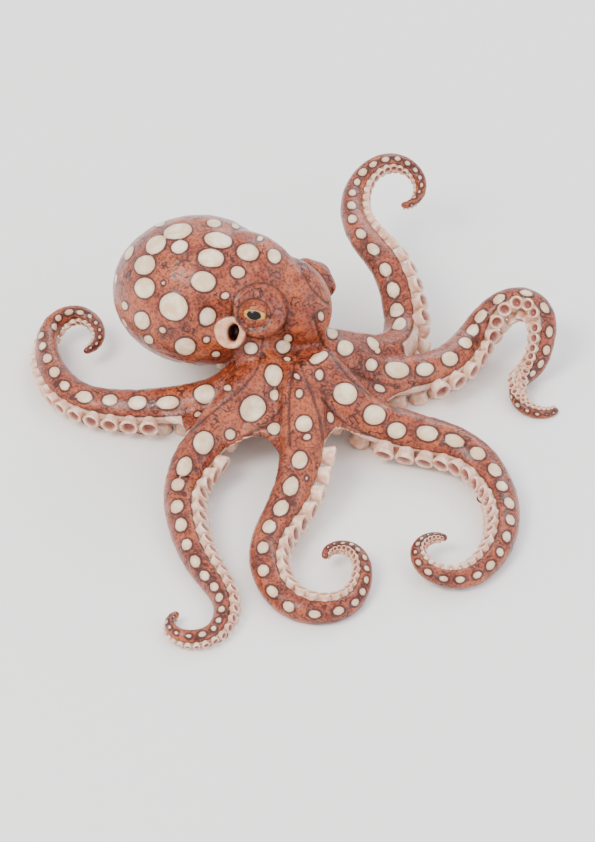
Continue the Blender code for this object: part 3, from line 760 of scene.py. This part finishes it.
def shapeEyes(places):
    # a full round mound, and a socket behind the eyeball with its rim where the lids begin
    for eye in eyes.values():
        mound, sight = eyeAxes(eye)
        high, out = distances(places, mound)
        wide, deep, power = eye["dome"]
        dome = deep * np.clip(1 - (out / wide) ** power, 0, 1) ** (1 / power)
        push = np.where((high > -2) & (out < wide), np.clip(dome - high, 0, 8), 0)
        places = places + push[:, None] * mound[1]
        high, out = distances(places, sight)
        offset = places - sight[0]
        reach = np.linalg.norm(offset, axis=1)
        inner = offset * (np.minimum(reach, relief["socketDepth"]) / np.maximum(reach, 1e-6))[:, None]
        share = (1 - smoothStep(*relief["socketWide"], out)) * (high > 0) * (reach < relief["socketReach"])
        places = places + share[:, None] * (sight[0] + inner - places)
    return places


def clearSiphon(places):
    # the flesh leaves the funnel's mouth and bore free
    shape = siphonShape
    line = (np.array(shape["base"], float), unit(shape["point"]))
    high, out = distances(places, line)
    limit = shape["mouth"] + np.maximum(out - shape["mouthWide"], 0) * shape["mouthSlope"]
    offMound = smoothStep(*shape["moundEdge"], distances(places, eyeAxes(eyes["eye_right"])[0])[1])
    inFront = (out < shape["clearAround"]) & (high > 20)
    back = np.where(inFront, np.maximum(high - limit, 0), 0) * offMound
    inBore = (out < shape["clearWide"]) & (high > shape["clearFrom"])
    back = np.where(inBore, high - shape["clearFrom"], back)
    return places - back[:, None] * line[1]


paleSide = dict(
    edge=0.42,  # in radii: where the dark back ends and the side with the suckers starts
    armReach=(1.45, 1.9),  # in radii: all arm within the first, all body past the second
    bodyPale=6, bodyDark=-12, turnsDown=(-0.85, -0.70),  # the body is pale where it faces this much down
    webTo=100, webDark=-6.0,  # the web's upper side stays dark this far along the arms
    start=dict(arm_l2=90, arm_r4=90), startSlope=0.5,  # nearer the head none shows in front on these arms
)


def paleBand(where, normals):
    # how far each point lies past the edge of the dark back towards the suckers, in mm
    shape = paleSide
    onArm = 1 - smoothStep(*shape["armReach"], where["gap"])
    band = (where["y"] - shape["edge"]) * where["radius"]
    up = smoothStep(*shape["turnsDown"], normals[:, 2])
    band = band * onArm + (1 - onArm) * (shape["bodyPale"] + (shape["bodyDark"] - shape["bodyPale"]) * up)
    overWeb = (normals[:, 2] > 0.0) & (where["s"] < shape["webTo"]) & (where["gap"] > 1.0)
    band = np.where(overWeb, np.minimum(band, shape["webDark"]), band)
    for name, start in shape["start"].items():
        covered = (where["arm"] == list(paths).index(name)) & (normals @ unit(frontWay) > 0.0)
        band = np.where(covered, np.minimum(band, (where["s"] - start) * shape["startSlope"]), band)
    return band


def eyeFolds(places):
    # the rings and the fold of the lids: their height, and how far each point is from the two middle lines
    shape, lift = relief, np.zeros(len(places))
    eyeGap, lidGap = np.full((2, len(places)), 99.0)
    for eye in eyes.values():
        mound, sight = eyeAxes(eye)
        high, out = distances(places, mound)
        out = out * shape["moundRadius"] / eye["moundRadii"][0]
        eyeGap = np.where(high > -4, np.minimum(eyeGap, out), eyeGap)
        ring = np.exp(-((out - shape["eyeRing"]) / shape["ringWidth"]) ** 2) * shape["ringDepth"]
        ridge = np.exp(-((out - shape["innerRing"]) / shape["ridgeWidth"]) ** 2) * shape["ridgeHigh"]
        lift = lift + smoothStep(-6, 2, high) * (ridge - ring)
        high, out = distances(places, sight)
        near = (high > 0) & (high < 30)
        crease = np.exp(-((out - shape["lidCrease"]) / shape["creaseWidth"]) ** 2) * shape["creaseDepth"]
        lift = lift - near * crease
        lidGap = np.where(near, np.minimum(lidGap, out), lidGap)
    return lift, eyeGap, lidGap


mesh = skin.data
places, normals = toMillimetres(vertexPlaces(mesh)), vertexNormals(mesh)
where = nearestArms(places)
band = paleBand(where, normals)
spots = layOutSpots(places, normals)
spotGap = spotDistance(places, spots)
lift = relief["spotRise"] * (1 - smoothStep(*relief["spotSlope"], spotGap)) * (band < 0)
wrinkle = sum(relief[deep] * np.array([noise.noise(Vector(place) / relief[size]) for place in places])
              for deep, size in (("wrinkle", "wrinkleSize"), ("fineWrinkle", "fineSize")))
thin = smoothStep(3.0, 16.0, where["radius"])  # a thin arm wrinkles less
lift = lift + wrinkle * (0.25 + 0.75 * np.where(where["gap"] < 1.6, thin, 1.0))
seamGap = seamDistance(places, normals)
lift = lift - seams["deep"] * np.exp(-(seamGap / seams["wide"]) ** 2)
places = clearSiphon(shapeEyes(places))
folds, eyeGap, lidGap = eyeFolds(places)
places = places + (lift + folds)[:, None] * normals
places[:, 2] = np.maximum(places[:, 2], 0.0)
placeVertices(mesh, toModel(places))
for name, values in dict(spot=spotGap, band=band, eyeRing=eyeGap, lidRing=lidGap, seam=seamGap).items():
    writeAttribute(mesh, name, values)
print("relief and markings done:", len(spots), "spots")

# the lids are part of the same skin
bm = bmesh.new()
bm.from_mesh(mesh)
lidValues = dict(spot=noMark, band=-20.0, eyeRing=10.0, lidRing=10.0, seam=noMark)  # plain dark skin
layers = {name: bm.verts.layers.float[name] for name in lidValues}
for eye in eyes.values():
    known = set(bm.verts)
    addTo(bm, lidShell(eye))
    for vert in [vert for vert in bm.verts if vert not in known]:
        for name, value in lidValues.items():
            vert[layers[name]] = value
bm.to_mesh(mesh)
bm.free()
mesh.shade_smooth()
mesh.calc_loop_triangles()
print("skin:", len(mesh.loop_triangles), "triangles")
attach(skin, "root")
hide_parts(*[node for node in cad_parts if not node.startswith(("eye_", "siphon"))])

skinLook = dict(
    deep="#4E1A10", middle="#8A3A24", warm="#B85E34", spot="#F1E2C6", spotShade="#DDBF98", rim="#3C120D",
    pale="#EFCFB8", paleShade="#DCA88E", speck="#8E4630", line="#2E0E0A",
    mottle=14.0, patch=46.0, grain=3.0, squiggle=11.0, scatter=18.7, bead=2.4, fine=1.6,  # sizes in mm
    # the dark lines, painted shade along the creases: (attribute, where on it, half widths of the full and
    # the faded line, share)
    lines=[("eyeRing", relief["eyeRing"], 0.5, 1.7, 0.75), ("lidRing", relief["lidCrease"], 0.4, 1.6, 0.8),
           ("seam", 0.0, 0.5, 2.4, 0.8)],
)


def moistSkin(look):
    # living octopus skin: a wet, elastic cuticle over pigment sacs, so a fine dark grain under a clear gloss
    material, shader, add = newMaterial("moist octopus skin")
    place = add("TexCoord", output="Object")
    mottle = add("TexNoise", {"Vector": place, "Scale": 1000 / look["mottle"],
                              "Detail": 5.0, "Roughness": 0.62})
    patch = add("TexNoise", {"Vector": place, "Scale": 1000 / look["patch"], "Detail": 2.0})
    grain = add("TexVoronoi", {"Vector": place, "Scale": 1000 / look["grain"], "Randomness": 1.0})
    base = add("ValToRGB", [mottle])
    stops = base.node.color_ramp.elements
    stops.new(0.5)
    for stop, position, shade in zip(stops, (0.30, 0.52, 0.72), ("deep", "middle", "warm")):
        stop.position = position
        stop.color = colour(look[shade])
    base = paintOver(add, base, look["warm"], patch, 0.45, 0.70, 0.0, 0.55)
    base = paintOver(add, base, look["deep"], grain, 0.15, 0.62, 0.55, 0.0, blend_type="MULTIPLY")
    base = paintOver(add, base, look["warm"], grain, 0.50, 0.80, 0.0, 0.30)

    # short crooked wrinkle lines, kept to scattered places and off the spots
    spot = add("Attribute", output="Fac", attribute_name="spot")
    bend = add("TexNoise", {"Vector": place, "Scale": 1000 / look["squiggle"],
                            "Detail": 0.5, "Distortion": 0.9})
    bend = add("Math", [add("Math", [bend, 0.5], operation="SUBTRACT")], operation="ABSOLUTE")
    crook = add("MapRange", [bend, 0.014, 0.040, 1.0, 0.0], **eased)
    scatter = add("TexNoise", {"Vector": place, "Scale": 1000 / look["scatter"], "Detail": 0.0})
    for value, low, high in ((scatter, 0.47, 0.54), (spot, 1.5, 3.0)):
        crook = add("Math", [crook, add("MapRange", [value, low, high], **eased)], operation="MULTIPLY")
    base = add("Mix", [add("Math", [crook, 0.85], operation="MULTIPLY"), base, look["line"]], **mixed)

    # cream spots with an uneven dark rim
    waver = add("Math", [add("Math", [mottle, 0.5], operation="SUBTRACT"), 3.0], operation="MULTIPLY")
    spotEdge = add("Math", [spot, waver], operation="ADD")
    base = paintOver(add, base, look["rim"], spotEdge, 0.5, 1.9, 0.88, 0.0)
    spotShade = paintOver(add, look["spotShade"], look["spot"], mottle, 0.40, 0.66)
    spotShade = paintOver(add, spotShade, look["warm"], spotEdge, -4.5, -0.6, 0.0, 0.35)
    base = paintOver(add, base, spotShade, spotEdge, -1.3, -0.5, 1.0, 0.0)

    # painted shade in the creases: dark lines along the rings round the eyes, the fold of the lids and the
    # seams between the arms
    for name, middle, full, faded, share in look["lines"]:
        out = add("Attribute", output="Fac", attribute_name=name)
        away = add("Math", [add("Math", [out, middle], operation="SUBTRACT")], operation="ABSOLUTE")
        base = paintOver(add, base, look["line"], away, full, faded, share, 0.0)

    # the pale side that carries the suckers, with a dark edge line where the back ends
    band = add("Attribute", output="Fac", attribute_name="band")
    specks = [add("MapRange", [grain, 0.05, 0.30, 1.0, 0.0], **eased),
              add("MapRange", [band, 0.0, 9.0, 0.8, 0.1], **eased)]
    pale = paintOver(add, look["paleShade"], look["pale"], mottle, 0.35, 0.65)
    pale = add("Mix", [add("Math", specks, operation="MULTIPLY"), pale, look["speck"]], **mixed)
    edge = add("Math", [band, add("Math", [waver, 0.4], operation="MULTIPLY")], operation="ADD")
    base = paintOver(add, base, pale, edge, -0.5, 0.6)
    base = paintOver(add, base, look["line"], add("Math", [edge], operation="ABSOLUTE"), 0.4, 1.4, 0.8, 0.0)

    # low beads and a finer grain, cut by the wrinkle lines and smoother on the spots
    bead = add("TexVoronoi", {"Vector": place, "Scale": 1000 / look["bead"], "Smoothness": 0.6},
               feature="SMOOTH_F1")
    fine = add("TexNoise", {"Vector": place, "Scale": 1000 / look["fine"], "Detail": 3.0})
    height = add("Math", [bead, -0.8], operation="MULTIPLY")
    for value, share in ((fine, 0.35), (crook, -0.9)):
        height = add("Math", [value, share, height], operation="MULTIPLY_ADD")
    smooth = add("MapRange", [spotEdge, -1.5, 1.0, 0.35, 1.0], **eased)
    height = add("Math", [height, smooth], operation="MULTIPLY")
    setInputs(shader, {
        "Base Color": base,
        "Normal": add("Bump", {"Height": height, "Strength": 0.75, "Distance": 0.0009}),
        "Roughness": add("MapRange", [mottle, 0.3, 0.7, 0.30, 0.44], **eased),
        "IOR": 1.40, "Coat Weight": 0.45, "Coat Roughness": 0.16, "Coat IOR": 1.35,
        "Subsurface Weight": 0.12, "Subsurface Radius": (1.0, 0.35, 0.20), "Subsurface Scale": 0.004,
    })
    return material


skin.data.materials.append(moistSkin(skinLook))

# suckers: two staggered rows of little cups under every arm
suckers = dict(
    faces=14, start=22, least=0.8,
    # in arm radii: from the middle line, from the arm's line, a cup's own radius and height, and the step
    row=0.47, foot=0.46, radius=0.54, height=0.84, pitch=1.08, lean=36,
    bendLimits=(0.8, 1.4),  # how much a bend may close up or spread the steps
    # outline of one cup as (radius, height) in cup radii, from its foot over the rim and down into the cup
    outline=[(0.84, 0.0), (0.74, 0.48), (0.93, 1.02), (1.0, 1.24), (0.86, 1.36), (0.66, 1.22), (0.44, 0.94),
             (0.0, 0.82)],
    # inside is the colour of painted shade in each cup's hollow and, by footShade, between the cups' feet
    mouth=0.7, cupFloor=0.6, footShade=0.3,
    pale="#F2D8C2", middle="#DFAA8E", inside="#8A4335", speck="#B06A54", mottle=7.0, grain=2.4,
)


def webOver(name, path, s, toward):
    # the height of the web's edge over this side of an arm, or none past its reach
    reach = max(reach for pair, (reach, _) in webShape["reach"].items() if pair[toward < 0] == name)
    return webStart(path, np.array([s]), toward)[0, 2] if s < reach - 4 else math.inf


def suckerRows(name, cup):
    path, shape = paths[name], suckers
    bm = bmesh.new()
    depth = []
    local = vertexPlaces(cup)
    out = np.clip(np.hypot(local[:, 0], local[:, 1]), 0, 1)
    inside = (out < shape["mouth"]) & (local[:, 2] > shape["cupFloor"])
    # painted shade: a share that rises towards the middle of the cup's hollow, and a minus at the cup's foot
    # for painted shade between the cups
    look = np.where(inside, 1.0 - out, 0.0) - np.where(local[:, 2] < 0.3, shape["footShade"], 0.0)
    rimHeight = max(height for _, height in shape["outline"])

    def footAt(s, side, radius):
        centre, across, under = pathAt(path, s, "centre", "side", "under")
        return centre + radius * (side * shape["row"] * across + shape["foot"] * under)

    for side in (1, -1):
        s = shape["start"] + (0.5 if side < 0 else 0.0) * shape["pitch"] * armShape["rootRadius"]
        while s < path["length"] - 2.5:
            centre, along, across, under, radius = pathAt(path, s, *frameNames)
            size = max(shape["radius"] * radius, shape["least"])
            high = size * shape["height"] / shape["radius"] / rimHeight
            lean = math.radians(shape["lean"]) * side
            way = unit(math.cos(lean) * under + math.sin(lean) * across)
            foot = footAt(s, side, radius)
            corners = foot + (local[:, :1] * size * along + local[:, 1:2] * size * np.cross(way, along)
                              + local[:, 2:] * high * way)
            corners[:, 2] = np.maximum(corners[:, 2], 0.0)
            toward = 1 if (foot - centre) @ np.cross((0, 0, 1), along) > 0 else -1
            covered = corners[:, 2].max() > webOver(name, path, s, toward)
            # a bend that spreads or closes up the cups' feet changes the step, so they stay evenly spaced
            spread = np.linalg.norm(footAt(s + 1, side, radius) - foot)
            s += radius * shape["pitch"] / np.clip(spread, *shape["bendLimits"])
            if covered:
                continue
            mesh = cup.copy()
            placeVertices(mesh, toModel(corners))
            bm.from_mesh(mesh)
            bpy.data.meshes.remove(mesh)
            depth.append(look)
    piece = newPiece("suckers_" + name[4:], bm)
    # the depth attribute carries the painted shade of the cups and their feet
    writeAttribute(piece.data, "depth", np.concatenate(depth))
    return piece


def suckerFlesh(look):
    # the suckers' soft muscle: paler and smoother than the back, the cup's hollow behind a pale rim darkened
    # with painted shade, as are the feet between the cups
    material, shader, add = newMaterial("pale sucker flesh")
    place = add("TexCoord", output="Object")
    depth = add("Attribute", output="Fac", attribute_name="depth")
    mottle = add("TexNoise", {"Vector": place, "Scale": 1000 / look["mottle"], "Detail": 4.0})
    grain = add("TexVoronoi", {"Vector": place, "Scale": 1000 / look["grain"]})
    base = paintOver(add, look["middle"], look["pale"], mottle, 0.38, 0.66)
    base = paintOver(add, base, look["speck"], grain, 0.05, 0.28, 0.35, 0.0)
    # painted shade: darker down into each cup's hollow, and between the cups at their feet
    base = paintOver(add, base, look["inside"], depth, 0.05, 0.60)
    base = paintOver(add, base, look["inside"], depth, -look["footShade"], 0.0, 0.60, 0.0)
    setInputs(shader, {
        "Base Color": base,
        "Normal": add("Bump", {"Height": mottle, "Strength": 0.4, "Distance": 0.0006}),
        "Roughness": add("MapRange", [mottle, 0.3, 0.7, 0.26, 0.40], **eased),
        "IOR": 1.40, "Coat Weight": 0.4, "Coat Roughness": 0.15,
        "Subsurface Weight": 0.2, "Subsurface Radius": (1.0, 0.4, 0.25), "Subsurface Scale": 0.004,
    })
    return material


cupForm = bmesh.new()
spinRound(cupForm, suckers["outline"], suckers["faces"])
cup = bpy.data.meshes.new("cup")
cupForm.to_mesh(cup)
cupForm.free()
suckerMaterial = suckerFlesh(suckers)
for name in arms:
    rows = suckerRows(name, cup)
    rows.data.materials.append(suckerMaterial)
    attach(rows, "root")
print("suckers set in rows")


# the siphon: a soft funnel beside the right eye
def softSiphon():
    shape = siphonShape
    bm = bmesh.new()
    spinRound(bm, shape["outline"], shape["faces"], finer=1)
    evenOut(bm, bm.verts[:], 0.4, 2)
    piece = newPiece("siphon_funnel", bm)
    local = vertexPlaces(piece.data)
    turn, run = np.arctan2(local[:, 1], local[:, 0]), local[:, 2].copy()
    wobble = 1 + shape["wobble"] * (np.sin(3 * turn + 0.6) + 0.5 * np.sin(5 * turn)) * smoothStep(10, 40, run)
    out = np.hypot(local[:, 0], local[:, 1])
    bore = (out < shape["bore"]) & (run > shape["boreFrom"])
    inner = (1 - smoothStep(9.0, 14.5, out)) * smoothStep(10, 20, run)
    local[:, 0] = local[:, 0] * (1 - (1 - shape["boreWide"]) * inner) - shape["boreAside"] * inner
    # the depth down the bore, which sets the painted shade there
    writeAttribute(piece.data, "depth", np.where(bore, shape["length"] - run, 0.0))
    writeAttribute(piece.data, "run", run)
    way = unit(shape["point"])
    across = unit(np.cross(way, (0, 0, 1)))
    over = np.cross(across, way)
    local[:, :2] *= wobble[:, None]
    placed = local[:, :1] * across + local[:, 1:2] * over + local[:, 2:] * way
    placeVertices(piece.data, toModel(placed + shape["base"]))
    return piece


def siphonSkin(shape):
    # thin wet muscle: paler than the mantle, paler still at the lip, and darkened down the bore with painted
    # shade
    material, shader, add = newMaterial("thin siphon skin")
    place = add("TexCoord", output="Object")
    run = add("Attribute", output="Fac", attribute_name="run")
    depth = add("Attribute", output="Fac", attribute_name="depth")
    mottle = add("TexNoise", {"Vector": place, "Scale": 1000 / shape["mottle"], "Detail": 5.0})
    grain = add("TexVoronoi", {"Vector": place, "Scale": 1000 / shape["grain"]})
    base = paintOver(add, shape["skin"], shape["pale"], run, 16.0, 46.0)
    base = paintOver(add, base, shape["skin"], mottle, 0.35, 0.6, 0.5, 0.0)
    base = paintOver(add, base, shape["line"], grain, 0.05, 0.30, 0.5, 0.0)
    # painted shade, deeper down the bore
    base = paintOver(add, base, shape["inside"], depth, 2.0, 12.0)
    setInputs(shader, {
        "Base Color": base,
        "Normal": add("Bump", {"Height": mottle, "Strength": 0.5, "Distance": 0.0008}),
        "Roughness": add("MapRange", [mottle, 0.3, 0.7, 0.28, 0.42], **eased),
        "Coat Weight": 0.45, "Coat Roughness": 0.15,
        "Subsurface Weight": 0.15, "Subsurface Radius": (1.0, 0.4, 0.25), "Subsurface Scale": 0.004,
    })
    return material


siphon = softSiphon()
siphon.data.materials.append(siphonSkin(siphonShape))
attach(siphon, "root")
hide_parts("siphon")
print("siphon turned")

# the eyes: a gold iris with a dark bar for a pupil, under clear wet gloss
eyeLook = dict(gold="#E3B45A", goldDeep="#A8682A", outer="#4A2416", pupil="#070505", faces=64,
               pupilLong=7.2, pupilHigh=4.3, irisRadius=12.5, fibre=1.4)  # in mm


def eyeball(name, eye):
    bm = bmesh.new()
    bmesh.ops.create_uvsphere(bm, u_segments=eyeLook["faces"], v_segments=eyeLook["faces"] // 2, radius=1.0)
    piece = newPiece(name + "_ball", bm)
    local, radius = vertexPlaces(piece.data), eyeShape["radius"]
    gaze, across, over = eyeSides(eye)
    writeAttribute(piece.data, "sideways", local[:, 0] * radius)
    writeAttribute(piece.data, "upward", local[:, 1] * radius)
    writeAttribute(piece.data, "forward", local[:, 2])
    turned = local[:, :1] * across + local[:, 1:2] * over + local[:, 2:] * gaze
    placeVertices(piece.data, toModel(eyeMiddle(eye) + turned * radius))
    return piece


def wetEye(look):
    # a lens under a clear cornea: near-mirror gloss over a fibrous gold iris
    material, shader, add = newMaterial("wet gold eye")
    forward = add("Attribute", output="Fac", attribute_name="forward")
    squares, bars = [], []
    for name, half in (("sideways", look["pupilLong"]), ("upward", look["pupilHigh"])):
        away = add("Math", [add("Attribute", output="Fac", attribute_name=name)], operation="ABSOLUTE")
        squares.append(add("Math", [away, 2.0], operation="POWER"))
        share = add("Math", [away, half], operation="DIVIDE")
        bars.append(add("Math", [share, 2.1], operation="POWER"))
    out = add("Math", [add("Math", squares, operation="ADD")], operation="SQRT")
    place = add("TexCoord", output="Object")
    fibre = add("TexNoise", {"Vector": place, "Scale": 1000 / look["fibre"], "Detail": 4.0})
    base = paintOver(add, look["goldDeep"], look["gold"], fibre, 0.35, 0.65)
    base = paintOver(add, base, look["outer"], out, look["irisRadius"] * 0.78, look["irisRadius"])
    # the pupil is a rounded bar, and only on the front of the ball
    behind = add("MapRange", [forward, 0.0, 0.05, 9.0, 0.0], **eased)
    bar = add("Math", [add("Math", bars, operation="ADD"), behind], operation="ADD")
    base = paintOver(add, base, look["pupil"], bar, 0.9, 1.25, 1.0, 0.0)
    setInputs(shader, {"Base Color": base, "Roughness": 0.30, "IOR": 1.20, "Coat Weight": 0.8,
                       "Coat Roughness": 0.03, "Coat IOR": 1.36})
    return material


eyeMaterial = wetEye(eyeLook)
for name, eye in eyes.items():
    ball = eyeball(name, eye)
    ball.data.materials.append(eyeMaterial)
    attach(ball, "root")
    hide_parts(name)
print("eyes set")

floorMesh = bmesh.new()
bmesh.ops.create_grid(floorMesh, x_segments=4, y_segments=4, size=6.0)
floor = newPiece("floor", floorMesh, smooth=False)
floorMaterial, shader, add = newMaterial("matt pale floor")  # smooth matt paint, so only a soft shadow shows
speckle = add("TexNoise", {"Vector": add("TexCoord", output="Object"), "Scale": 60.0, "Detail": 3.0})
setInputs(shader, {"Base Color": add("Mix", [speckle, "#F4F3F1", "#F8F7F5"], **mixed), "Roughness": 0.9})
floor.data.materials.append(floorMaterial)

# the view: from above and in front, a long lens
scene = bpy.context.scene
camera = bpy.data.objects.new("camera", bpy.data.cameras.new("camera"))
scene.collection.objects.link(camera)
camera.data.lens = 120
camera.data.sensor_width = 36
camera.data.clip_end = 50
camera.location = (0.0020, -2.2208, 1.8641)
camera.rotation_euler = (math.radians(50), 0, 0)
scene.camera = camera

lamps = dict(
    key=dict(place=(-1.5, -1.1, 2.4), power=78, size=1.3, shade="#FFF8EE"),
    fill=dict(place=(1.9, -1.3, 1.5), power=28, size=2.2, shade="#F2F6FF"),
    rim=dict(place=(0.7, 2.0, 1.7), power=26, size=1.2, shade="#FFFFFF"),
)
for name, lamp in lamps.items():
    light = bpy.data.objects.new(name, bpy.data.lights.new(name, "AREA"))
    scene.collection.objects.link(light)
    light.data.energy = lamp["power"]
    light.data.size = lamp["size"]
    light.data.color = colour(lamp["shade"])[:3]
    light.location = lamp["place"]
    aim = Vector((0, 0, 0.05)) - light.location
    light.rotation_euler = aim.to_track_quat("-Z", "Y").to_euler()
world = bpy.data.worlds.new("studio")
scene.world = world
world.use_nodes = True
setInputs(world.node_tree.nodes["Background"], {"Color": "#F4F6FA", "Strength": 1.5})
